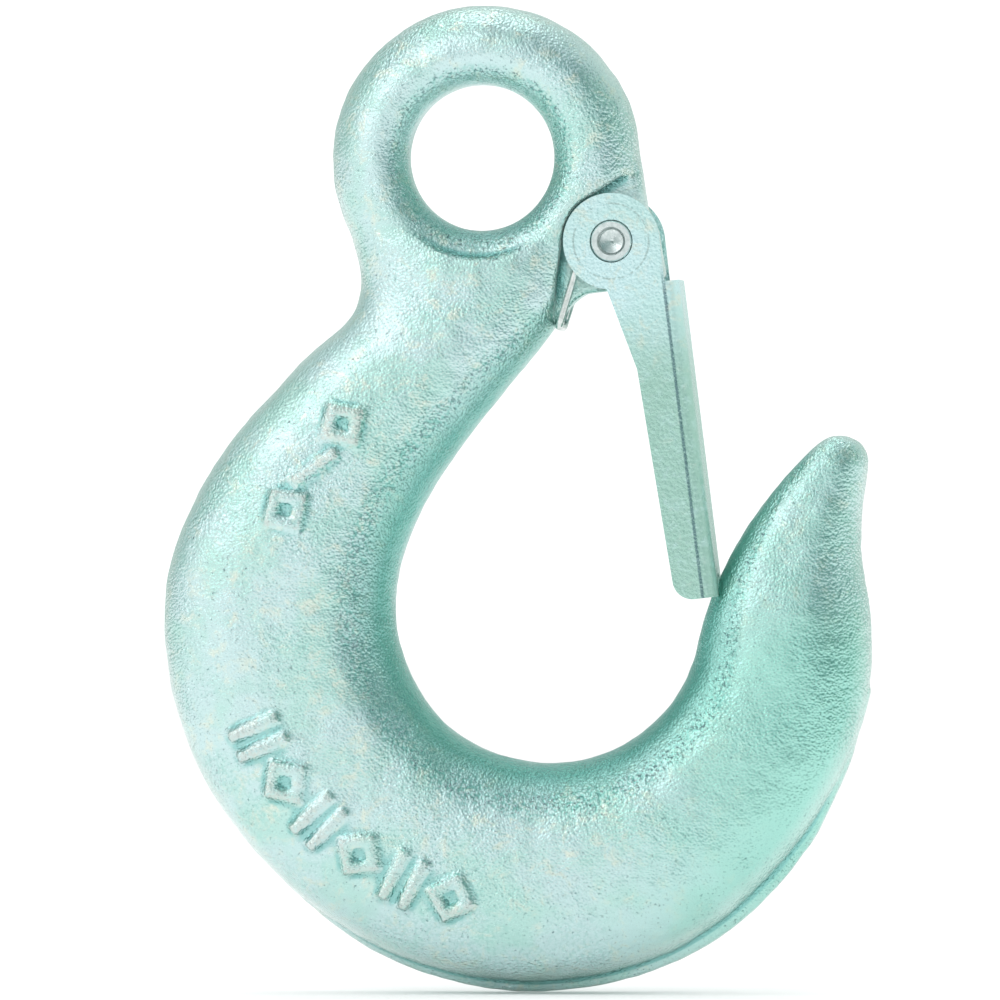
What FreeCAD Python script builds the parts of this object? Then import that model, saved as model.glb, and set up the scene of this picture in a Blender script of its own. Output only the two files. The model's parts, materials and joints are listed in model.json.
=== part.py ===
import FreeCAD, Part
import math
import os

from FreeCAD import Vector

os.makedirs("parts", exist_ok=True)

# Eye slip hook with a sprung latch. Millimetres, Z up, X to the tip's side, Y from front to back.
# The origin is the centre of the eye's bore, on the forging's parting plane.

# eye
EYE_BORE_R = 9.5
EYE_LAND = 4.0          # length of the bore's plain cylinder
EYE_MOUTH_R = 3.7       # rounding of the bore's mouth
EYE_OUTER_R = 20.1
EYE_OUTER_X = 0.5       # the outer circle sits a little towards the latch
EYE_OUTER_Z = -0.2
EYE_HALF = 5.8          # half of the eye's thickness
EYE_CROWN_R = 14.2      # where the eye's face starts to round off

# bowl
BOWL_X = 8.7
BOWL_Z = -58.7
BOWL_R = 20.05          # inside of the bowl
BOWL_HALF = 9.0
SECTION_POINTS = 16

# lug that carries the latch
PIN_X = 17.2
PIN_Z = -10.95
LUG_HALF = 3.1
LUG_BORE_R = 2.45
LUG_CHAMFER = 1.0
SEAT_R = 6.9            # forged flat round the ear of the latch

# latch
TILT = math.radians(7.1)   # spine's lean from the vertical
SHEET = 1.3
LATCH_HALF = 7.0
EAR_R = 6.25
SPINE_OUT = 8.1         # pin to the spine's outer face
SPINE_TOP = 6.0         # pin to the spine's upper end
LATCH_END = 47.4        # pin to the free end
BEND_R = 2.0
EAR_HOLE_R = 2.42
DISH_R = 2.8
DISH_DEEP = 0.8
NOTCH_R = 5.4
NOTCH_DEEP = 3.0

# rivet
RIVET_R = 2.4
RIVET_RIM_R = 2.66
RIVET_DRILL_R = 1.55
RIVET_DRILL_DEEP = 2.6
RIVET_HEAD_R = 3.5
RIVET_HEAD_HIGH = 1.5

# spring
WIRE_R = 0.475
COIL_R = 3.35
COIL_TURNS = 1.0
COIL_NEAR = 3.62        # coil centre next to the lug
COIL_FAR = 5.17         # coil centre next to the ear
LOOP_X = 10.28
LOOP_Z = -22.05
FREE_END = 14.0         # free end's reach along the spine

# raised marks on the front face
MARK_HIGH = 0.35
MARK_STROKE = 1.35
BAR_LONG = 6.8
BAR_APART = 2.9
DIAMOND_SIDE = 4.7
DIAMOND_HOLE = 2.1


def prism(points, low, high):
    """Extrude an outline in XZ along Y."""
    corners = [Vector(x, low, z) for x, z in points]
    wire = Part.makePolygon(corners + corners[:1])
    return Part.Face(wire).extrude(Vector(0, high - low, 0))


def post(x, z, radius, low, high):
    """Round bar along Y."""
    return Part.makeCylinder(radius, high - low, Vector(x, low, z), Vector(0, 1, 0))


def turned(profile, x=0.0, z=0.0):
    """Revolve an (r, y) outline of edges about a front-to-back axis."""
    face = Part.Face(Part.Wire(profile))
    solid = face.revolve(Vector(0, 0, 0), Vector(0, 1, 0), 360)
    solid.translate(Vector(x, 0, z))
    return solid


def line(a, b):
    return Part.LineSegment(Vector(a[0], a[1], 0), Vector(b[0], b[1], 0)).toShape()


def arc(a, b, c):
    points = [Vector(p[0], p[1], 0) for p in (a, b, c)]
    return Part.Arc(*points).toShape()


def polyline(points):
    return [line(a, b) for a, b in zip(points, points[1:] + points[:1])]


def section(outer, inner, half, outer_round, inner_round):
    """One cross section of the forging, fuller on one side than the other."""
    middle = (Vector(outer[0], 0, outer[1]) + Vector(inner[0], 0, inner[1])) * 0.5
    reach = Vector(inner[0], 0, inner[1]) - middle
    points = []
    for i in range(SECTION_POINTS):
        a = 2 * math.pi * (i + 0.5) / SECTION_POINTS
        c = math.cos(a)
        s = math.sin(a)
        power = inner_round if c > 0 else outer_round
        r = (abs(c) ** power + abs(s) ** power) ** (-1 / power)
        points.append(middle + reach * (r * c) + Vector(0, half * r * s, 0))
    curve = Part.BSplineCurve()
    curve.interpolate(points, True)
    return Part.Wire(curve.toShape())


def bowl_point(angle, radius):
    a = math.radians(angle)
    return (BOWL_X + radius * math.cos(a), BOWL_Z + radius * math.sin(a))


def shank_sections():
    """From inside the eye down the shank: outer point, inner point, half thickness."""
    rows = [
        ((-18.4, 0.5), (18.3, 0.5), 5.2),
        ((-17.2, -9.0), (16.6, -10.5), 6.2),
        ((-15.8, -15.6), (12.0, -18.6), 7.0),
        ((-17.3, -20.9), (8.4, -23.7), 7.4),
        ((-21.2, -24.5), (4.4, -28.4), 7.8),
        ((-26.5, -29.7), (-0.9, -35.1), 8.2),
        ((-31.4, -35.2), (-5.2, -41.1), 8.5),
        ((-36.5, -42.8), (-9.4, -49.0), 8.8),
    ]
    return [section(a, b, half, 2.8, 2.7) for a, b, half in rows]


def bowl_sections():
    """Round the bowl at even angles. The body stands inside the flash along the bottom."""
    outer = [49.6, 50.3, 49.5, 49.2, 48.4, 47.0, 44.5, 43.3]
    half = [BOWL_HALF] * 5 + [8.8, 8.3, 7.6]
    outer_round = [3.0] * 5 + [2.8, 2.5, 2.2]
    rows = []
    for i in range(8):
        angle = 172 + 24 * i
        edge = bowl_point(angle, outer[i])
        rows.append(section(edge, bowl_point(angle, BOWL_R), half[i], outer_round[i], 2.8))
    return rows


def tip_sections():
    """The tip, flat on its inner side, and the rounded end that closes it."""
    rows = [
        ((50.5, -58.5), (29.7, -57.5), 7.0),
        ((49.7, -54.0), (32.3, -52.0), 6.3),
        ((49.45, -49.0), (36.0, -45.9), 5.5),
        ((49.75, -43.7), (40.5, -40.3), 4.6),
        ((50.25, -40.3), (43.0, -37.8), 4.0),
        ((50.3, -38.9), (44.3, -36.75), 3.4),
        ((49.75, -37.5), (45.6, -36.15), 2.5),
        ((48.9, -36.7), (46.7, -35.97), 1.4),
    ]
    sections = [section(outer, inner, half, 2.0, 3.2) for outer, inner, half in rows]
    apex = Vector(47.85, 0, -36.1)
    return sections + [Part.Vertex(apex)]


def eye_disc():
    """The eye before boring: a disc with a full oval rim."""
    rim = EYE_OUTER_R - EYE_CROWN_R
    points = []
    for i in range(13):
        a = math.pi * (i / 12 - 0.5)
        points.append(Vector(EYE_CROWN_R + rim * math.cos(a), EYE_HALF * math.sin(a), 0))
    curve = Part.BSplineCurve()
    curve.interpolate(points)
    edges = [
        line((0, -EYE_HALF), (EYE_CROWN_R, -EYE_HALF)),
        curve.toShape(),
        line((EYE_CROWN_R, EYE_HALF), (0, EYE_HALF)),
        line((0, EYE_HALF), (0, -EYE_HALF)),
    ]
    return turned(edges, EYE_OUTER_X, EYE_OUTER_Z)


def eye_bore():
    """The bore: a plain land with a rounded mouth on each face."""
    land = EYE_LAND / 2
    mouth = EYE_BORE_R + EYE_MOUTH_R
    face = land + EYE_MOUTH_R
    mid = EYE_MOUTH_R * math.sqrt(0.5)
    edges = [
        line((EYE_BORE_R, -land), (EYE_BORE_R, land)),
        arc((EYE_BORE_R, land), (mouth - mid, land + mid), (mouth, face)),
        line((mouth, face), (mouth, face + 6)),
        line((mouth, face + 6), (0, face + 6)),
        line((0, face + 6), (0, -face - 6)),
        line((0, -face - 6), (mouth, -face - 6)),
        line((mouth, -face - 6), (mouth, -face)),
        arc((mouth, -face), (mouth - mid, -land - mid), (EYE_BORE_R, -land)),
    ]
    return turned(edges)


def lug():
    """Web between the eye and the shank that the rivet goes through, its right edges bevelled."""
    left = [
        (23.0, -16.4), (16.2, -17.4), (13.6, -17.7), (12.4, -18.5),
        (11.3, -19.7), (8.4, -22.4), (4.0, -20.0), (8.0, -2.0),
    ]
    right = [(20.6, -0.4), (22.0, -9.1), (22.9, -9.1), (23.95, -15.3)]
    wires = []
    shoulder = LUG_HALF - LUG_CHAMFER
    for y, inset in ((-LUG_HALF, LUG_CHAMFER), (-shoulder, 0), (shoulder, 0), (LUG_HALF, LUG_CHAMFER)):
        points = [Vector(x - inset, y, z) for x, z in right]
        points += [Vector(x, y, z) for x, z in left]
        wires.append(Part.makePolygon(points + points[:1]))
    return Part.makeLoft(wires, True, True)


def seats():
    """Flats forged into both faces round the lug, for the ears and the spring's legs."""
    above = [(14.3, -4.7), (21.9, -0.3), (27.0, -0.3), (27.0, -12.0), (PIN_X, -12.0)]
    below = [(10.3, -11.5), (9.5, -20.6), (20.0, -20.6), (20.0, -11.5)]
    sides = []
    for low, high in ((LUG_HALF, 14.0), (-14.0, -LUG_HALF)):
        ear = post(PIN_X, PIN_Z, SEAT_R, low, high)
        sides.append(ear.fuse([prism(above, low, high), prism(below, low, high)]))
    return sides


def flash():
    """Trimmed flash that stands proud along the bottom of the bowl."""
    sections = []
    for i in range(6):
        angle = 226 + 24 * i
        radius = [49.4, 50.1, 49.55, 48.0, 45.2, 43.2][i]
        outer = bowl_point(angle, radius)
        sections.append(section(outer, bowl_point(angle, radius - 8.0), 1.1, 6.0, 3.0))
    return Part.makeLoft(sections, True, False)


def face_under(body, x, z, reach):
    """How far a body's front face stands from the parting plane, at its highest under a mark."""
    highest = 0.0
    for dx, dz in ((0, 0), (reach, 0), (-reach, 0), (0, reach), (0, -reach)):
        ray = Part.makeLine(Vector(x + dx, -30, z + dz), Vector(x + dx, 0, z + dz))
        highest = max(highest, -ray.common(body).BoundBox.YMin)
    return highest


def mark(x, z, length, width, lean, face):
    """Raised rectangle on the front face, leaning by an angle from the X axis."""
    u = Vector(math.cos(lean), 0, math.sin(lean)) * (length / 2)
    v = Vector(-math.sin(lean), 0, math.cos(lean)) * (width / 2)
    middle = Vector(x, 0, z)
    corners = [middle - u - v, middle + u - v, middle + u + v, middle - u + v]
    return prism([(c.x, c.z) for c in corners], -face - MARK_HIGH, -face + 2.5)


def hollow_diamond(x, z, lean, face):
    corner = lean + math.pi / 4
    diamond = mark(x, z, DIAMOND_SIDE, DIAMOND_SIDE, corner, face)
    return diamond.cut(mark(x, z, DIAMOND_HOLE, DIAMOND_HOLE, corner, face + 1))


def raised_marks(body):
    """Plain raised marks: twin bars and diamonds in turn round the bowl, and three up the shank."""
    marks = []
    for i in range(6):
        angle = 204.0 + 9.6 * i
        lean = math.radians(angle)
        x, z = bowl_point(angle, 40.8 - 0.3 * i)
        face = face_under(body, x, z, BAR_LONG / 2)
        if i % 2:
            marks.append(hollow_diamond(x, z, lean, face))
        else:
            for shift in (-BAR_APART / 2, BAR_APART / 2):
                bar_x = x - shift * math.sin(lean)
                bar_z = z + shift * math.cos(lean)
                marks.append(mark(bar_x, bar_z, BAR_LONG, MARK_STROKE, lean, face))
    lean = math.radians(34.0)
    for i in range(3):
        x = -17.6 - 3.7 * i
        z = -34.7 - 5.55 * i
        face = face_under(body, x, z, BAR_LONG / 2)
        if i == 1:
            marks.append(mark(x, z, BAR_LONG, MARK_STROKE, lean, face))
        else:
            marks.append(hollow_diamond(x, z, lean, face))
    return marks


def hook_body():
    sections = shank_sections() + bowl_sections() + tip_sections()
    forging = Part.makeLoft(sections, True, False)
    marks = raised_marks(forging)
    body = forging.fuse([eye_disc(), lug(), flash()])
    body = body.cut(seats())
    body = body.cut([eye_bore(), post(PIN_X, PIN_Z, LUG_BORE_R, -20, 20)])
    return body.fuse(marks)


def latch_point(out, down, y=0.0):
    """A point given from the pin: outwards from the spine, and down along it."""
    x = PIN_X + out * math.cos(TILT) + down * math.sin(TILT)
    z = PIN_Z + out * math.sin(TILT) - down * math.cos(TILT)
    return Vector(x, y, z)


def latch_prism(points, low, high):
    corners = [latch_point(out, down) for out, down in points]
    return prism([(c.x, c.z) for c in corners], low, high)


def channel():
    """The latch's bent sheet: spine and both flanges as one U section, drawn along the spine."""
    inner_r = BEND_R - SHEET
    out = SPINE_OUT
    half = LATCH_HALF

    def corner(side, offset, radius):
        centre_out = out - BEND_R
        centre_y = side * (half - BEND_R)
        d = radius * math.sqrt(0.5)
        return (
            latch_point(out - offset, SPINE_TOP, centre_y),
            latch_point(centre_out + d, SPINE_TOP, centre_y + side * d),
            latch_point(centre_out, SPINE_TOP, side * (half - offset)),
        )

    open_left = -8.0
    outer_b = corner(1, 0, BEND_R)
    outer_f = corner(-1, 0, BEND_R)
    inner_b = corner(1, SHEET, inner_r)
    inner_f = corner(-1, SHEET, inner_r)
    back_out = latch_point(open_left, SPINE_TOP, half)
    back_in = latch_point(open_left, SPINE_TOP, half - SHEET)
    front_out = latch_point(open_left, SPINE_TOP, -half)
    front_in = latch_point(open_left, SPINE_TOP, -half + SHEET)
    edges = [
        Part.LineSegment(outer_f[0], outer_b[0]).toShape(),
        Part.Arc(*outer_b).toShape(),
        Part.LineSegment(outer_b[2], back_out).toShape(),
        Part.LineSegment(back_out, back_in).toShape(),
        Part.LineSegment(back_in, inner_b[2]).toShape(),
        Part.Arc(inner_b[2], inner_b[1], inner_b[0]).toShape(),
        Part.LineSegment(inner_b[0], inner_f[0]).toShape(),
        Part.Arc(*inner_f).toShape(),
        Part.LineSegment(inner_f[2], front_in).toShape(),
        Part.LineSegment(front_in, front_out).toShape(),
        Part.LineSegment(front_out, outer_f[2]).toShape(),
        Part.Arc(outer_f[2], outer_f[1], outer_f[0]).toShape(),
    ]
    along = latch_point(0, LATCH_END - SPINE_TOP) - latch_point(0, 0)
    return Part.Face(Part.Wire(edges)).extrude(along)


def flange_outline():
    """Side outline of the flanges below the ears, cut square and rounded at the free end."""
    round_r = 2.6
    heel = 2.45
    above = SPINE_TOP - 1
    beyond = SPINE_OUT + 1
    toe = []
    for turn in range(0, 91, 10):
        a = math.radians(turn)
        toe.append((heel + round_r * (1 - math.cos(a)), LATCH_END - round_r * (1 - math.sin(a))))
    return [(-1.35, 6.1), (1.3, 16.9)] + toe + [(beyond, LATCH_END), (beyond, above), (-1.0, above)]


def ears():
    """The two round ears, and the plate that runs down into the flanges."""
    plates = []
    plate = [(0, -2), (EAR_R, -0.3), (6.2, SPINE_TOP), (6.1, 9.0), (0.5, 9.0), (-1.35, 6.1)]
    for low in (-LATCH_HALF, LATCH_HALF - SHEET):
        disc = post(PIN_X, PIN_Z, EAR_R, low, low + SHEET)
        plates += [disc, latch_prism(plate, low, low + SHEET)]
    return plates


def latch():
    """Stamped channel with ears, rivet holes, a dished front hole and a notched free end."""
    sheet = channel().common(latch_prism(flange_outline(), -LATCH_HALF - 1, LATCH_HALF + 1))
    sheet = sheet.fuse(ears()).removeSplitter()
    notch_centre = latch_point(0, LATCH_END + NOTCH_R - NOTCH_DEEP)
    notch_axis = latch_point(20, 0) - latch_point(0, 0)
    notch = Part.makeCylinder(NOTCH_R, 20, notch_centre, notch_axis)
    hole = post(PIN_X, PIN_Z, EAR_HOLE_R, -20, 20)
    dish = Part.makeCone(
        DISH_R, EAR_HOLE_R, DISH_DEEP, Vector(PIN_X, -LATCH_HALF, PIN_Z), Vector(0, 1, 0)
    )
    return sheet.cut([notch, hole, dish])


def rivet():
    """Semi-tubular rivet, drilled and flared at the front, with a low head at the back."""
    front = -LATCH_HALF - 0.1
    flare = front + DISH_DEEP
    back = LATCH_HALF
    drill = front + RIVET_DRILL_DEEP
    edges = polyline([
        (0, drill + 0.5),
        (RIVET_DRILL_R, drill),
        (RIVET_DRILL_R, front + 0.35),
        (RIVET_DRILL_R + 0.3, front),
        (RIVET_RIM_R - 0.15, front),
        (RIVET_RIM_R, front + 0.2),
        (RIVET_RIM_R, front + 0.3),
        (RIVET_R, flare),
        (RIVET_R, back),
        (RIVET_HEAD_R, back),
        (RIVET_HEAD_R, back + 0.6),
        (RIVET_HEAD_R - 0.9, back + RIVET_HEAD_HIGH),
        (0, back + RIVET_HEAD_HIGH),
    ])
    return turned(edges, PIN_X, PIN_Z)


def tangent_angle(point, side):
    """Angle round the pin at which a straight leg from a point leaves the coil."""
    dx = point.x - PIN_X
    dz = point.z - PIN_Z
    away = math.atan2(dz, dx)
    return away + side * math.acos(COIL_R / math.hypot(dx, dz))


def coil_point(angle, y):
    return Vector(PIN_X + COIL_R * math.cos(angle), y, PIN_Z + COIL_R * math.sin(angle))


def between(a, b, count):
    """Evenly spaced points after a, up to and including b."""
    return [a + (b - a) * (i / count) for i in range(1, count + 1)]


def spring_half():
    """Centre line of the spring's back half, from the free end through the coil to the loop."""
    free = latch_point(SPINE_OUT - SHEET - WIRE_R - 0.05, FREE_END, COIL_NEAR)
    loop = Vector(LOOP_X, COIL_FAR, LOOP_Z)
    start = tangent_angle(free, 1)
    stop = tangent_angle(loop, -1) % (2 * math.pi) + 2 * math.pi * COIL_TURNS
    points = [free, coil_point(start, COIL_NEAR)]
    steps = 32
    for i in range(1, steps + 1):
        t = i / steps
        ease = t * t * (3 - 2 * t)
        points.append(coil_point(start + (stop - start) * t, COIL_NEAR + (COIL_FAR - COIL_NEAR) * ease))
    corner_r = 1.2
    down = (loop - points[-1]).normalize()
    before = loop - down * corner_r
    after = loop - Vector(0, corner_r, 0)
    points.append(before)
    centre = before + after - loop
    for turn in (22.5, 45, 67.5, 90):
        a = math.radians(turn)
        points.append(centre + (before - centre) * math.cos(a) + (after - centre) * math.sin(a))
    return points


def latch_spring():
    """Double torsion spring of round wire, bent from one length."""
    back = spring_half()
    front = [Vector(p.x, -p.y, p.z) for p in back]
    cross = between(back[-1], front[-1], 2)[:-1]
    points = back + cross + front[::-1]
    side = Vector(0, 1, 0)
    rings = []
    for i, point in enumerate(points):
        ahead = points[min(i + 1, len(points) - 1)]
        behind = points[max(i - 1, 0)]
        along = (ahead - behind).normalize()
        side = (side - along * side.dot(along)).normalize()
        up = along.cross(side)
        rim = [point + side * WIRE_R, point + up * WIRE_R, point - side * WIRE_R, point - up * WIRE_R]
        rings.append(Part.Wire([
            Part.Arc(rim[0], rim[1], rim[2]).toShape(),
            Part.Arc(rim[2], rim[3], rim[0]).toShape(),
        ]))
    return Part.makeLoft(rings, True, True)


SHAPES = {
    "hook_body": hook_body,
    "latch": latch,
    "latch_rivet": rivet,
    "latch_spring": latch_spring,
}

for node, make in SHAPES.items():
    shape = make()
    print(node, shape.isValid(), len(shape.Solids), round(shape.Volume, 1))
    shape.exportStep("parts/" + node + ".step")
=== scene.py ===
import json
import math

import bpy
import numpy as np
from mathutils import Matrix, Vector, noise


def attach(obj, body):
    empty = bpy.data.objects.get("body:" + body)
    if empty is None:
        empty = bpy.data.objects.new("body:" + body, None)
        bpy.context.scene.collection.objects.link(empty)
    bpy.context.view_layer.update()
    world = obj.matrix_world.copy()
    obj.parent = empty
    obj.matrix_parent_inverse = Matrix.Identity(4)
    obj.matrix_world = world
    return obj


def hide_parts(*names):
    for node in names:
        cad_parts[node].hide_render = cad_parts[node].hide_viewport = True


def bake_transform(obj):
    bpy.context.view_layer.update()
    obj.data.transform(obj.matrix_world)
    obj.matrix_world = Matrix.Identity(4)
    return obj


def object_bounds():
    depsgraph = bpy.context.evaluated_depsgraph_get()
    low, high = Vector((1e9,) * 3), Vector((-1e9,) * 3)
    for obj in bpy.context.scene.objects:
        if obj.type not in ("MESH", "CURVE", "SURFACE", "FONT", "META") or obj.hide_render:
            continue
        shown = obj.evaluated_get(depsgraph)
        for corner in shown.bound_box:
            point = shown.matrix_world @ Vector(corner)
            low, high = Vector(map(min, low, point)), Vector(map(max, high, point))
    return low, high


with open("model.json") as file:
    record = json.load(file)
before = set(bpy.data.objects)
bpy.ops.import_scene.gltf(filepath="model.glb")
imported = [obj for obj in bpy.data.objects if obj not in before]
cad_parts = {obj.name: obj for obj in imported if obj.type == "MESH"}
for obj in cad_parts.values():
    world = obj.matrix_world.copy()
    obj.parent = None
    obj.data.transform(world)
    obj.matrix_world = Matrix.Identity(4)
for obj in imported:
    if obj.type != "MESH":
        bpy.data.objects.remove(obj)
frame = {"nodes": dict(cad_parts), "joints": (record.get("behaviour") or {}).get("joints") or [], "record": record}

MM = 0.001
cad_box = [list(corner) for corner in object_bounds()]

# Places in the frame, in metres. X points to the tip's side, Z up, and the front face looks along -Y.
PIN = Vector(frame["joints"][0]["pos_m"])
BOWL = Vector([m for m in frame["record"]["mounts"] if m["name"] == "bowl"][0]["pos_m"])
LOWEST = cad_box[0][2]
BOWL_CENTRE = BOWL + Vector((0, 0, 20.05)) * MM
EYE_CENTRE = Vector((0, 0, 0))
SHANK_MARKS = Vector((-21.3, 0, -40.25)) * MM
TIP_END = Vector((47.85, 0, -36.1)) * MM
RIGHT = Vector((1, 0, 0))
UP = Vector((0, 0, 1))
SPINE_TILT = math.radians(7.1)
ALONG_SPINE = Vector((math.sin(SPINE_TILT), 0, -math.cos(SPINE_TILT)))
ACROSS_SPINE = Vector((math.cos(SPINE_TILT), 0, math.sin(SPINE_TILT)))

# Forged skin, in millimetres.
SKIN_VOXEL = 0.37
WAVES = ((9.0, 0.15), (3.2, 0.09), (1.4, 0.05))     # size and height of the hammered unevenness
BOWL_REACH = 47.0       # how far out from each hole a surface can still be its inner slope
EYE_REACH = 15.0
RING_R = 40.0           # band of raised marks round the bowl
RING_HALF = 5.0
RING_MIDDLE = 228.0     # degrees
RING_SWEEP = 30.0
SHANK_MARKS_R = 11.5
STROKE_GAIN = 0.35      # height given back to the marks after smoothing
EYE_SHADE_SHARE = 0.5         # how much of the inner slopes' painted shade the eye's inner slope gets, against the bowl's

# Latch, in millimetres from its pin.
EAR_R = 6.25
BEND_OUT = 6.1          # where the side bends into the spine
SCUFF_R = 4.9

# Grain, in millimetres.
PEEL = 0.38
GRIT = 0.22
PITTING = 0.40
GRAIN_DEEP = 0.14
SHEET_PEEL = 0.45
SHEET_FILM = 1.1
SHEET_SPECK = 0.26
SHEET_DEEP = 0.045

# Colours.
PALE_ZINC = (0.55, 0.73, 0.73)
GREEN_ZINC = (0.47, 0.71, 0.66)
# Painted shade for the right side and the bottom.
FALLOFF_SHADE_ZINC = (0.36, 0.68, 0.60)
CREAM_ZINC = (0.68, 0.75, 0.65)
# Painted light for the outer rims.
LIT_RIM_ZINC = (0.66, 0.80, 0.76)
# Painted shade for the inner slopes and the creases.
DEEP_SHADE_ZINC = (0.15, 0.46, 0.40)
# Painted shadow for the foot of each mark.
MARK_SHADOW_ZINC = (0.20, 0.50, 0.48)
EAR_PALE = (0.57, 0.79, 0.80)
EAR_GREEN = (0.52, 0.76, 0.74)
ARM_ZINC = (0.35, 0.57, 0.49)
SCUFF_GREY = (0.34, 0.46, 0.44)
BARE_STEEL = (0.60, 0.64, 0.60)
# Dark pits and scratches, also used as painted shade in the pits at the inner slope and along the latch's bend.
DARK_PIT_AND_SHADE = (0.05, 0.12, 0.15)
RIVET_LIGHT = (0.72, 0.80, 0.79)
RIVET_SHADE = (0.54, 0.62, 0.61)
WIRE_LIGHT = (0.72, 0.77, 0.75)
WIRE_SHADE = (0.56, 0.62, 0.60)

# What polished metal sees all round it, by angle from the front towards the right.
SURROUNDINGS = (
    (-180, (0.68, 0.78, 0.75)),
    (-135, (0.44, 0.58, 0.55)),
    (-105, (0.56, 0.70, 0.67)),
    (-72, (1.00, 1.00, 1.00)),
    (-24, (1.12, 1.10, 1.10)),
    (-6, (0.92, 0.92, 0.93)),
    (10, (0.74, 0.83, 0.83)),
    (25, (0.22, 0.37, 0.37)),
    (42, (0.07, 0.18, 0.18)),
    (58, (0.26, 0.42, 0.39)),
    (80, (0.62, 0.74, 0.68)),
    (125, (0.72, 0.84, 0.78)),
    (180, (0.68, 0.78, 0.75)),
)
OVERHEAD = (0.70, 0.75, 0.75)
UNDERFOOT = (0.70, 0.80, 0.77)
WHITE = (1.0, 1.0, 1.0)
WHITE_STRENGTH = 1.18

# Camera: level, a little to the right of square on, and far enough away to look flat.
CAMERA_TURN = math.radians(4.0)
CAMERA_FAR = 2.0
CAMERA_SENSOR = 36
VIEW_WIDTH = 0.13014
AIM_RIGHT = 0.00228
AIM_UP = -0.0445


# ---------------------------------------------------------------- shader helper

class Shader:
    """Adds nodes to one material or world, and joins them up."""

    def __init__(self, owner):
        owner.use_nodes = True
        self.tree = owner.node_tree
        self.tree.nodes.clear()

    def add(self, kind, **inputs):
        node = self.tree.nodes.new(kind)
        for key, value in inputs.items():
            self.feed(node.inputs[key.replace("_", " ")], value)
        return node

    def feed(self, socket, value):
        if isinstance(value, bpy.types.NodeSocket):
            self.tree.links.new(value, socket)
        elif isinstance(value, tuple) and len(value) == 3 and socket.type == "RGBA":
            socket.default_value = (*value, 1)
        else:
            socket.default_value = value

    def place(self):
        """Position in the frame at rest, in metres."""
        return self.add("ShaderNodeTexCoord").outputs["Object"]

    def noise(self, coords, size_mm, detail=3.0, rough=0.55, distortion=0.0):
        node = self.add(
            "ShaderNodeTexNoise", Vector=coords, Scale=1 / (size_mm * MM), Detail=detail,
            Roughness=rough, Distortion=distortion,
        )
        return node.outputs["Fac"]

    def ramp(self, value, stops):
        """Colour stops, given as (place, colour) with places from 0 to 1."""
        node = self.add("ShaderNodeValToRGB", Fac=value)
        elements = node.color_ramp.elements
        while len(elements) < len(stops):
            elements.new(1.0)
        for element, (position, colour) in zip(elements, stops):
            element.position = position
            element.color = (*colour, 1)
        return node.outputs["Color"]

    def mix(self, amount, a, b):
        node = self.tree.nodes.new("ShaderNodeMix")
        node.data_type = "RGBA"
        for index, value in ((0, amount), (6, a), (7, b)):
            self.feed(node.inputs[index], value)
        return node.outputs[2]

    def math(self, operation, a, b=0.0, c=0.0):
        node = self.tree.nodes.new("ShaderNodeMath")
        node.operation = operation
        for index, value in enumerate((a, b, c)):
            self.feed(node.inputs[index], value)
        return node.outputs[0]

    def times(self, a, b):
        return self.math("MULTIPLY", a, b)

    def times_plus(self, a, b, c):
        return self.math("MULTIPLY_ADD", a, b, c)

    def between(self, value, low, high, low_out=0.0, high_out=1.0):
        """Smooth step from low_out at low to high_out at high."""
        node = self.tree.nodes.new("ShaderNodeMapRange")
        node.interpolation_type = "SMOOTHSTEP"
        names = ("Value", "From Min", "From Max", "To Min", "To Max")
        for name, number in zip(names, (value, low, high, low_out, high_out)):
            self.feed(node.inputs[name], number)
        return node.outputs[0]

    def along(self, coords, origin, direction):
        """Distance of a point from an origin, measured along a direction."""
        offset = self.tree.nodes.new("ShaderNodeVectorMath")
        offset.operation = "SUBTRACT"
        self.feed(offset.inputs[0], coords)
        self.feed(offset.inputs[1], origin)
        dot = self.tree.nodes.new("ShaderNodeVectorMath")
        dot.operation = "DOT_PRODUCT"
        self.feed(dot.inputs[0], offset.outputs[0])
        self.feed(dot.inputs[1], direction)
        return dot.outputs["Value"]

    def orange_peel(self, coords, size_mm):
        """Low rounded bumps with narrow creases between them: 1 on a bump, 0 in a crease."""
        wobble = self.add("ShaderNodeTexNoise", Vector=coords, Scale=1 / (1.3 * size_mm * MM), Detail=2.0)
        shifted = self.tree.nodes.new("ShaderNodeVectorMath")
        shifted.operation = "MULTIPLY_ADD"
        self.feed(shifted.inputs[0], wobble.outputs["Color"])
        self.feed(shifted.inputs[1], (size_mm * MM,) * 3)
        self.feed(shifted.inputs[2], coords)
        cells = self.tree.nodes.new("ShaderNodeTexVoronoi")
        cells.feature = "SMOOTH_F1"
        self.feed(cells.inputs["Vector"], shifted.outputs[0])
        self.feed(cells.inputs["Scale"], 1 / (size_mm * MM))
        self.feed(cells.inputs["Smoothness"], 0.35)
        return self.math("SUBTRACT", 1.0, cells.outputs["Distance"])

    def attribute(self, name):
        node = self.tree.nodes.new("ShaderNodeAttribute")
        node.attribute_name = name
        return node.outputs["Fac"]

    def metal(self, colour, roughness, height, height_mm, milky=0.0):
        """Finishes a metal, partly milky, whose fine relief comes from a height between 0 and 1."""
        bump = self.add("ShaderNodeBump", Strength=1.0, Distance=height_mm * MM, Height=height)
        shader = self.add(
            "ShaderNodeBsdfPrincipled", Metallic=self.math("SUBTRACT", 1.0, milky), Base_Color=colour,
            Roughness=roughness, Normal=bump.outputs["Normal"],
        )
        self.add("ShaderNodeOutputMaterial", Surface=shader.outputs["BSDF"])


# ---------------------------------------------------------------- materials

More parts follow.
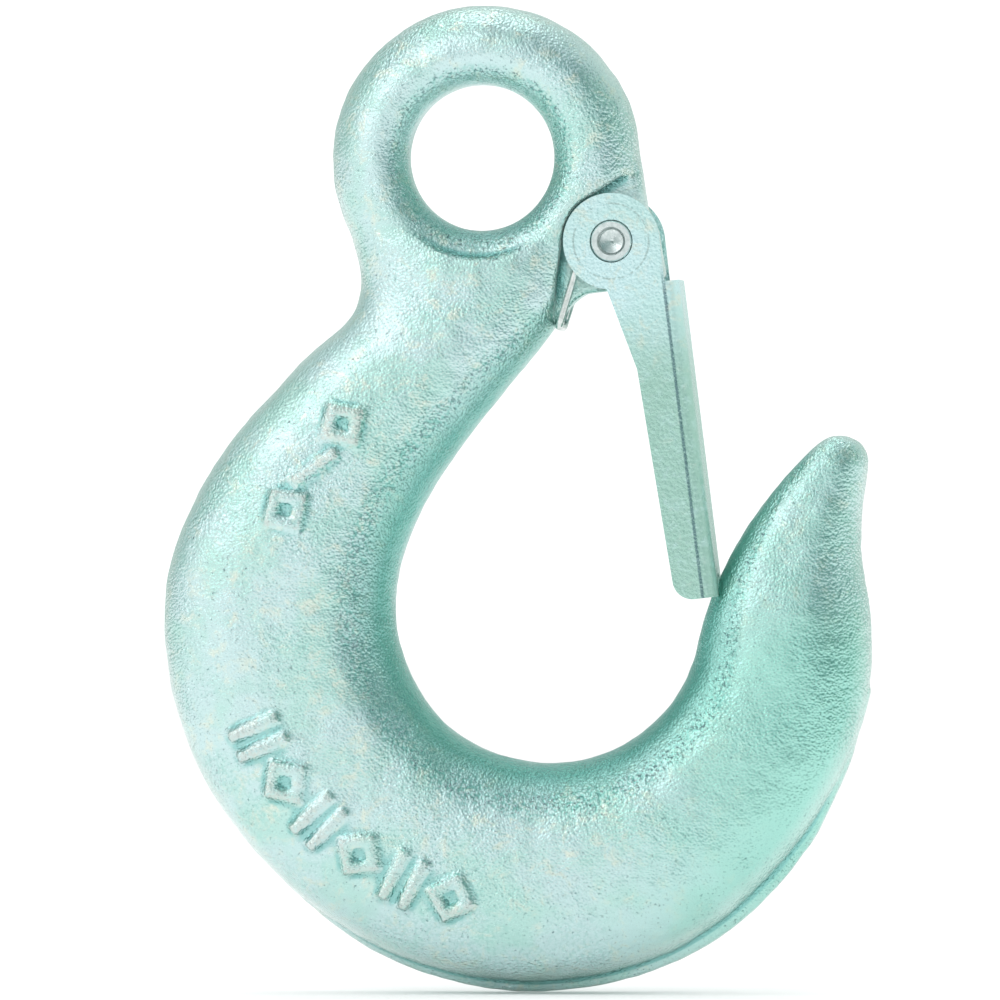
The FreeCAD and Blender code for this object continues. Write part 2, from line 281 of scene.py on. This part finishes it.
def zinc_tone(s, coords, pale, green):
    """Blue-green zinc with slow drifts towards green and towards cream."""
    drift = s.between(s.noise(coords, 9.0, 3.0, 0.6), 0.40, 0.62)
    colour = s.mix(drift, pale, green)
    cream = s.between(s.noise(coords, 2.4, 5.0, 0.7, 0.5), 0.50, 0.70, 0.0, 0.8)
    return s.mix(cream, colour, CREAM_ZINC)


def forged_zinc():
    """Plated forging: orange-peel grain, dark pits and marks worn on their tops, with painted shade (darker and
    greener) on the inner slopes, in the creases, towards the right and bottom and round the marks' feet, and
    painted light on the outer rims.
    """
    material = bpy.data.materials.new("forged_zinc")
    s = Shader(material)
    coords = s.place()
    peel = s.orange_peel(coords, PEEL)
    grit = s.noise(coords, GRIT, 3.0, 0.75)
    pitting = s.noise(coords, PITTING, 4.0, 0.75)
    region = s.between(s.noise(coords, 12.0, 2.0, 0.5), 0.38, 0.62)
    relief = s.attribute("relief")
    inward = s.attribute("inward")
    outward = s.attribute("outward")
    marks = s.attribute("marks")
    recess = s.attribute("recess")
    steep = s.attribute("steep")

    # Broad tones: random drifts of the plating, then painted shade towards the right and the bottom, painted light
    # on the outer rims, and painted shade on the inner slopes.
    colour = zinc_tone(s, coords, PALE_ZINC, GREEN_ZINC)
    # Painted shade: darker and greener towards the right, most of all low down, where the light falls off.
    right = s.between(s.along(coords, EYE_CENTRE, RIGHT), 12 * MM, 42 * MM)
    low = s.between(s.along(coords, EYE_CENTRE, UP), -52 * MM, -66 * MM, 0.3, 1.0)
    colour = s.mix(s.times(right, low), colour, FALLOFF_SHADE_ZINC)
    # Painted light: the outer rims are lightened.
    colour = s.mix(s.times(outward, 0.7), colour, LIT_RIM_ZINC)
    # Painted shade: the inner slopes of the bowl and the eye are darker and greener.
    colour = s.mix(s.times(inward, 0.85), colour, DEEP_SHADE_ZINC)

    # Dark pits of the grain, and painted shade in the creases between the bumps; pits and shade are both thickest
    # where the inner slope begins.
    slope_top = s.times(s.between(inward, 0.0, 0.2), s.between(inward, 0.7, 0.3))
    # Dark pits of the grain, with more painted there as shade where the inner slope begins.
    pits_and_slope_shade = s.between(s.times_plus(slope_top, 0.07, pitting), 0.60, 0.70, 0.0, 0.7)
    colour = s.mix(pits_and_slope_shade, colour, DARK_PIT_AND_SHADE)
    creased = s.times_plus(slope_top, 0.4, s.between(region, 0.0, 1.0, 0.0, 0.25))
    # Painted shade in the creases between the orange-peel bumps.
    crease_shade = s.times(s.between(peel, 0.55, 0.25), creased)
    colour = s.mix(crease_shade, colour, DEEP_SHADE_ZINC)

    # A painted shadow line at the foot of each mark, and bare metal worn on its top.
    foot_shadow = s.between(relief, -0.02, -0.09, 0.0, 0.7)
    colour = s.mix(foot_shadow, colour, MARK_SHADOW_ZINC)
    worn = s.times(s.between(relief, 0.03, 0.11), s.between(pitting, 0.36, 0.52))
    worn = s.times(worn, s.times_plus(marks, 0.52, 0.12))
    colour = s.mix(worn, colour, BARE_STEEL)

    roughness = s.times_plus(grit, 0.14, 0.08)
    roughness = s.times_plus(worn, 0.14, roughness)
    coarse = s.times(s.between(region, 0.0, 1.0, 0.75, 1.15), s.between(steep, 0.02, 0.2, 0.45, 1.0))
    height = s.times_plus(peel, coarse, s.times(grit, 0.35))
    height = s.times_plus(pits_and_slope_shade, -0.3, height)
    milky = s.times_plus(outward, 0.25, s.times_plus(recess, 0.5, 0.04))
    s.metal(colour, roughness, height, GRAIN_DEEP, milky)
    return material


def sheet_zinc():
    """Plated sheet: smooth, greyer and greener down the arm, with scuffs in arcs round the rivet."""
    material = bpy.data.materials.new("sheet_zinc")
    s = Shader(material)
    coords = s.place()
    down = s.along(coords, PIN, ALONG_SPINE)
    out = s.along(coords, PIN, ACROSS_SPINE)
    across = s.along(coords, PIN, RIGHT)
    above = s.along(coords, PIN, UP)
    radius = s.math("SQRT", s.math("ADD", s.math("POWER", across, 2.0), s.math("POWER", above, 2.0)))
    film = s.noise(coords, SHEET_FILM, 6.0, 0.75, 0.6)
    speck = s.noise(coords, SHEET_SPECK, 3.0, 0.8)

    colour = zinc_tone(s, coords, EAR_PALE, EAR_GREEN)
    arm = s.times(s.between(down, 7 * MM, 20 * MM), s.between(film, 0.30, 0.55, 0.55, 1.0))
    colour = s.mix(arm, colour, ARM_ZINC)
    ring = s.math("ABSOLUTE", s.math("SUBTRACT", radius, SCUFF_R * MM))
    scuff = s.times(s.between(ring, 0.18 * MM, 0.06 * MM), s.between(film, 0.48, 0.54))
    colour = s.mix(s.times(scuff, 0.7), colour, SCUFF_GREY)

    # A painted dark reflection: a speckled dark line where the side starts to bend into the spine.
    bend = s.math("ABSOLUTE", s.math("SUBTRACT", out, BEND_OUT * MM))
    bend_shade = s.times(s.between(bend, 0.30 * MM, 0.10 * MM), s.between(speck, 0.34, 0.48))
    bend_shade = s.times(bend_shade, s.between(down, 3 * MM, 8 * MM))
    # Dark specks of the plating, together with the painted dark reflection along the bend.
    specks_and_bend_shade = s.math("MAXIMUM", s.between(speck, 0.60, 0.70, 0.0, 0.55), s.times(bend_shade, 0.75))
    colour = s.mix(specks_and_bend_shade, colour, DARK_PIT_AND_SHADE)

    roughness = s.times_plus(film, 0.16, 0.14)
    height = s.times_plus(speck, 0.4, s.orange_peel(coords, SHEET_PEEL))
    milky = s.between(out, BEND_OUT * MM, (BEND_OUT + 0.6) * MM, 0.10, 0.65)
    s.metal(colour, roughness, height, SHEET_DEEP, milky)
    return material


def bright_steel(name, light, shade, roughness, scratch_mm):
    """Bright metal, dulled in patches and finely scratched."""
    material = bpy.data.materials.new(name)
    s = Shader(material)
    coords = s.place()
    patch = s.noise(coords, 0.9, 5.0, 0.7)
    scratch = s.noise(coords, 0.22, 3.0, 0.8)
    colour = s.mix(s.between(patch, 0.36, 0.64), light, shade)
    colour = s.mix(s.between(scratch, 0.60, 0.72, 0.0, 0.5), colour, DARK_PIT_AND_SHADE)
    dulled = s.times_plus(patch, 0.22, roughness)
    s.metal(colour, dulled, s.times_plus(scratch, 0.6, patch), scratch_mm)
    return material


# ---------------------------------------------------------------- mesh helpers

def link(name, data):
    obj = bpy.data.objects.new(name, data)
    bpy.context.scene.collection.objects.link(obj)
    return obj


def paint(obj, material):
    obj.data.materials.clear()
    obj.data.materials.append(material)


def smooth_shade(obj):
    obj.data.polygons.foreach_set("use_smooth", [True] * len(obj.data.polygons))
    obj.data.update()


def evaluated_mesh(obj):
    bpy.context.view_layer.update()
    graph = bpy.context.evaluated_depsgraph_get()
    return bpy.data.meshes.new_from_object(obj.evaluated_get(graph))


def vertex_array(mesh, field):
    flat = np.zeros(len(mesh.vertices) * 3)
    mesh.vertices.foreach_get(field, flat)
    return flat.reshape(-1, 3)


def relax(obj, rounds):
    modifier = obj.modifiers.new("relax", "SMOOTH")
    modifier.factor = 0.5
    modifier.iterations = rounds


def relaxed(obj, rounds):
    """The object's points and normals after some rounds of smoothing."""
    relax(obj, rounds)
    softened = evaluated_mesh(obj)
    obj.modifiers.clear()
    points = vertex_array(softened, "co")
    normals = vertex_array(softened, "normal")
    bpy.data.meshes.remove(softened)
    return points, normals


def store(mesh, name, values):
    layer = mesh.attributes.new(name, "FLOAT", "POINT")
    layer.data.foreach_set("value", values.astype(np.float32))


def distance_from(points, centre):
    """Distance seen from the front, in mm."""
    return np.hypot(points[:, 0] - centre.x, points[:, 2] - centre.z) / MM


# ---------------------------------------------------------------- forging

def even_copy(name, source):
    """An even, closed mesh of a CAD node's shape, with its edges slightly softened."""
    rough = link("rough", source.data.copy())
    remesh = rough.modifiers.new("even", "REMESH")
    remesh.mode = "VOXEL"
    remesh.voxel_size = SKIN_VOXEL * MM
    relax(rough, 2)
    mesh = evaluated_mesh(rough)
    bpy.data.objects.remove(rough)
    return link(name, mesh)


def marked(points):
    """True on the parts of the front face that carry raised marks: round the bowl, and on the shank."""
    angle = np.degrees(np.arctan2(points[:, 2] - BOWL_CENTRE.z, points[:, 0] - BOWL_CENTRE.x)) % 360
    ring = np.abs(distance_from(points, BOWL_CENTRE) - RING_R) < RING_HALF
    ring &= np.abs(angle - RING_MIDDLE) < RING_SWEEP
    shank = distance_from(points, SHANK_MARKS) < SHANK_MARKS_R
    return (ring | shank) & (points[:, 1] < 0)


def melting(points, from_eye, from_pin):
    """How far each point gives up its shape: the eye runs into the shank, and the tip ends round."""
    neck = np.interp(from_eye, (13, 14.5, 24, 28), (0, 1, 1, 0))
    neck *= np.interp(from_pin, (9, 11.5), (0, 1))
    tip = np.interp(distance_from(points, TIP_END), (2.5, 5.5), (0.7, 0))
    return np.maximum(neck, tip)


def facing_centre(points, normals, centre, reach, softness):
    """1 where the surface looks at a hole's centre from within reach mm, 0 where it looks away."""
    offset = np.array(centre) - points
    offset[:, 1] = 0
    distance = distance_from(points, centre)
    looks = (offset * normals).sum(axis=1) / MM / np.maximum(distance, 1.0)
    near = np.interp(distance, (reach - 4, reach), (1, 0))
    return np.clip((looks - 0.15) / softness, 0, 1) * near


def store_slopes(mesh, points, normals):
    """Masks for the plating: inner slopes, which get painted shade, outer slopes, which get painted light, and
    steepness. The tip's inner slope is crisp.
    """
    softness = np.interp(points[:, 0] / MM, (28, 38), (0.6, 0.25))
    bowl = facing_centre(points, normals, BOWL_CENTRE, BOWL_REACH, softness)
    eye = facing_centre(points, normals, EYE_CENTRE, EYE_REACH, 0.6)
    inward = np.maximum(bowl, EYE_SHADE_SHARE * eye)
    steep = 1 - np.abs(normals[:, 1])
    store(mesh, "inward", inward)
    store(mesh, "steep", steep)
    store(mesh, "outward", np.clip((steep - 0.25) / 0.5, 0, 1) * (inward == 0))


def forging_waves(points, from_eye, from_pin):
    """Hammered unevenness in mm at each point, slight in the eye's bore and round the pin."""
    waves = np.zeros(len(points))
    for size, height in WAVES:
        waves += height * np.array([noise.noise(Vector(p) / (size * MM)) for p in points])
    waves *= np.interp(from_eye, (10, 14), (0.2, 1))
    waves *= np.interp(from_pin, (7.5, 10), (0.2, 1))
    return waves


def close_to_ears(points, from_pin):
    """Shift in metres that brings the forging's step close round the latch's ears."""
    wall = np.interp(from_pin, (EAR_R + 0.2, EAR_R + 0.65, EAR_R + 2.4), (0, 0.33, 0))
    wall *= np.interp(np.abs(points[:, 1]) / MM, (3.3, 3.8), (0, 1))
    towards_pin = (np.array(PIN) - points) * (1, 0, 1)
    return towards_pin / np.maximum(from_pin, 1.0)[:, None] * wall[:, None]


def hook_skin():
    """The forging's real surface: rounded everywhere and unevenly hammered."""
    skin = even_copy("hook_forging", frame["nodes"]["hook_body"])
    mesh = skin.data
    soft_points = relaxed(skin, 30)[0]
    points, normals = relaxed(skin, 3)
    strokes, stroke_normals = relaxed(skin, 4)
    marks = marked(points)
    points = np.where(marks[:, None], strokes, points)
    normals = np.where(marks[:, None], stroke_normals, normals)
    from_eye = distance_from(points, EYE_CENTRE)
    from_pin = distance_from(points, PIN)
    relief = ((points - soft_points) * normals).sum(axis=1) / MM
    points += normals * (relief * marks * STROKE_GAIN * MM)[:, None]

    melt = melting(points, from_eye, from_pin)
    points += (soft_points - points) * melt[:, None]
    store(mesh, "relief", relief * (1 - melt))
    store(mesh, "marks", marks)
    store_slopes(mesh, points, normals)
    store(mesh, "recess", np.interp(from_pin, (EAR_R, EAR_R + 2.2), (1, 0)))

    points += normals * (forging_waves(points, from_eye, from_pin) * MM)[:, None]
    points += close_to_ears(points, from_pin)
    mesh.vertices.foreach_set("co", points.ravel())
    smooth_shade(skin)
    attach(skin, "hook")
    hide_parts("hook_body")
    return skin


# ---------------------------------------------------------------- latch, rivet and spring

def spring_wire():
    """The spring's wire at rest: its loop lies on the shank and its free ends along the spine."""
    wire = link("torsion_spring", frame["nodes"]["latch_spring"].data.copy())
    smooth_shade(wire)
    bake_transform(wire)
    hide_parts("latch_spring")
    return wire


def round_edges(obj, width_mm):
    """Rounds the sharp edges of a CAD piece, and returns it."""
    bevel = obj.modifiers.new("edge", "BEVEL")
    bevel.width = width_mm * MM
    bevel.segments = 3
    bevel.limit_method = "ANGLE"
    bevel.angle_limit = math.radians(35)
    smooth_shade(obj)
    return obj


# ---------------------------------------------------------------- studio

def studio_world():
    """White to the camera and to matt surfaces; panels of light and dark to the metal."""
    world = bpy.data.worlds.new("studio")
    bpy.context.scene.world = world
    s = Shader(world)
    direction = s.add("ShaderNodeTexCoord").outputs["Generated"]
    part = s.add("ShaderNodeSeparateXYZ", Vector=direction).outputs
    turn = s.math("ARCTAN2", part["X"], s.times(part["Y"], -1.0))
    turn = s.times_plus(turn, 1 / (2 * math.pi), 0.5)
    panels = s.ramp(turn, [((angle + 180) / 360, colour) for angle, colour in SURROUNDINGS])
    panels = s.mix(s.between(part["Z"], 0.55, 0.95), panels, OVERHEAD)
    panels = s.mix(s.between(part["Z"], -0.45, -0.9), panels, UNDERFOOT)
    metal_sees = s.add("ShaderNodeBackground", Color=panels)
    white = s.add("ShaderNodeBackground", Color=WHITE, Strength=WHITE_STRENGTH)
    choose = s.tree.nodes.new("ShaderNodeMixShader")
    s.feed(choose.inputs[0], s.add("ShaderNodeLightPath").outputs["Is Glossy Ray"])
    s.feed(choose.inputs[1], white.outputs[0])
    s.feed(choose.inputs[2], metal_sees.outputs[0])
    s.add("ShaderNodeOutputWorld", Surface=choose.outputs[0])


def softbox(name, place, aim, size, power):
    data = bpy.data.lights.new(name, "AREA")
    data.shape = "RECTANGLE"
    data.size, data.size_y = size
    data.energy = power
    lamp = link(name, data)
    lamp.location = place
    lamp.rotation_euler = (Vector(aim) - Vector(place)).to_track_quat("-Z", "Y").to_euler()


def lights():
    middle = (0.003, 0, -0.045)
    softbox("key", (-0.45, -0.75, 0.45), middle, (0.4, 0.4), 0.9)
    softbox("top", (-0.1, 0.1, 0.9), middle, (0.6, 0.5), 1.6)


def floor():
    bpy.ops.mesh.primitive_plane_add(size=8, location=(0, 0, LOWEST - 0.2 * MM))
    plane = bpy.context.object
    plane.name = "floor"
    material = bpy.data.materials.new("pale_floor")
    s = Shader(material)
    tone = s.between(s.noise(s.place(), 60, 2.0), 0.3, 0.7, 0.90, 0.94)
    shader = s.add("ShaderNodeBsdfPrincipled", Base_Color=tone, Roughness=0.9)
    s.add("ShaderNodeOutputMaterial", Surface=shader.outputs["BSDF"])
    paint(plane, material)


def camera():
    right = Vector((math.cos(CAMERA_TURN), math.sin(CAMERA_TURN), 0))
    back = Vector((math.sin(CAMERA_TURN), -math.cos(CAMERA_TURN), 0))
    aim = right * AIM_RIGHT + UP * AIM_UP
    data = bpy.data.cameras.new("camera")
    data.sensor_width = CAMERA_SENSOR
    data.lens = CAMERA_SENSOR * CAMERA_FAR / VIEW_WIDTH
    data.clip_end = 20
    cam = link("camera", data)
    cam.location = aim + back * CAMERA_FAR
    cam.rotation_euler = (aim - cam.location).to_track_quat("-Z", "Y").to_euler()
    bpy.context.scene.camera = cam


# ---------------------------------------------------------------- scene

rivet_zinc = bright_steel("rivet_zinc", RIVET_LIGHT, RIVET_SHADE, 0.18, 0.03)
spring_steel = bright_steel("spring_steel", WIRE_LIGHT, WIRE_SHADE, 0.14, 0.01)
paint(hook_skin(), forged_zinc())
paint(round_edges(frame["nodes"]["latch"], 0.18), sheet_zinc())
paint(round_edges(frame["nodes"]["latch_rivet"], 0.08), rivet_zinc)
paint(spring_wire(), spring_steel)

bpy.context.scene.view_settings.view_transform = "Standard"
studio_world()
lights()
floor()
camera()
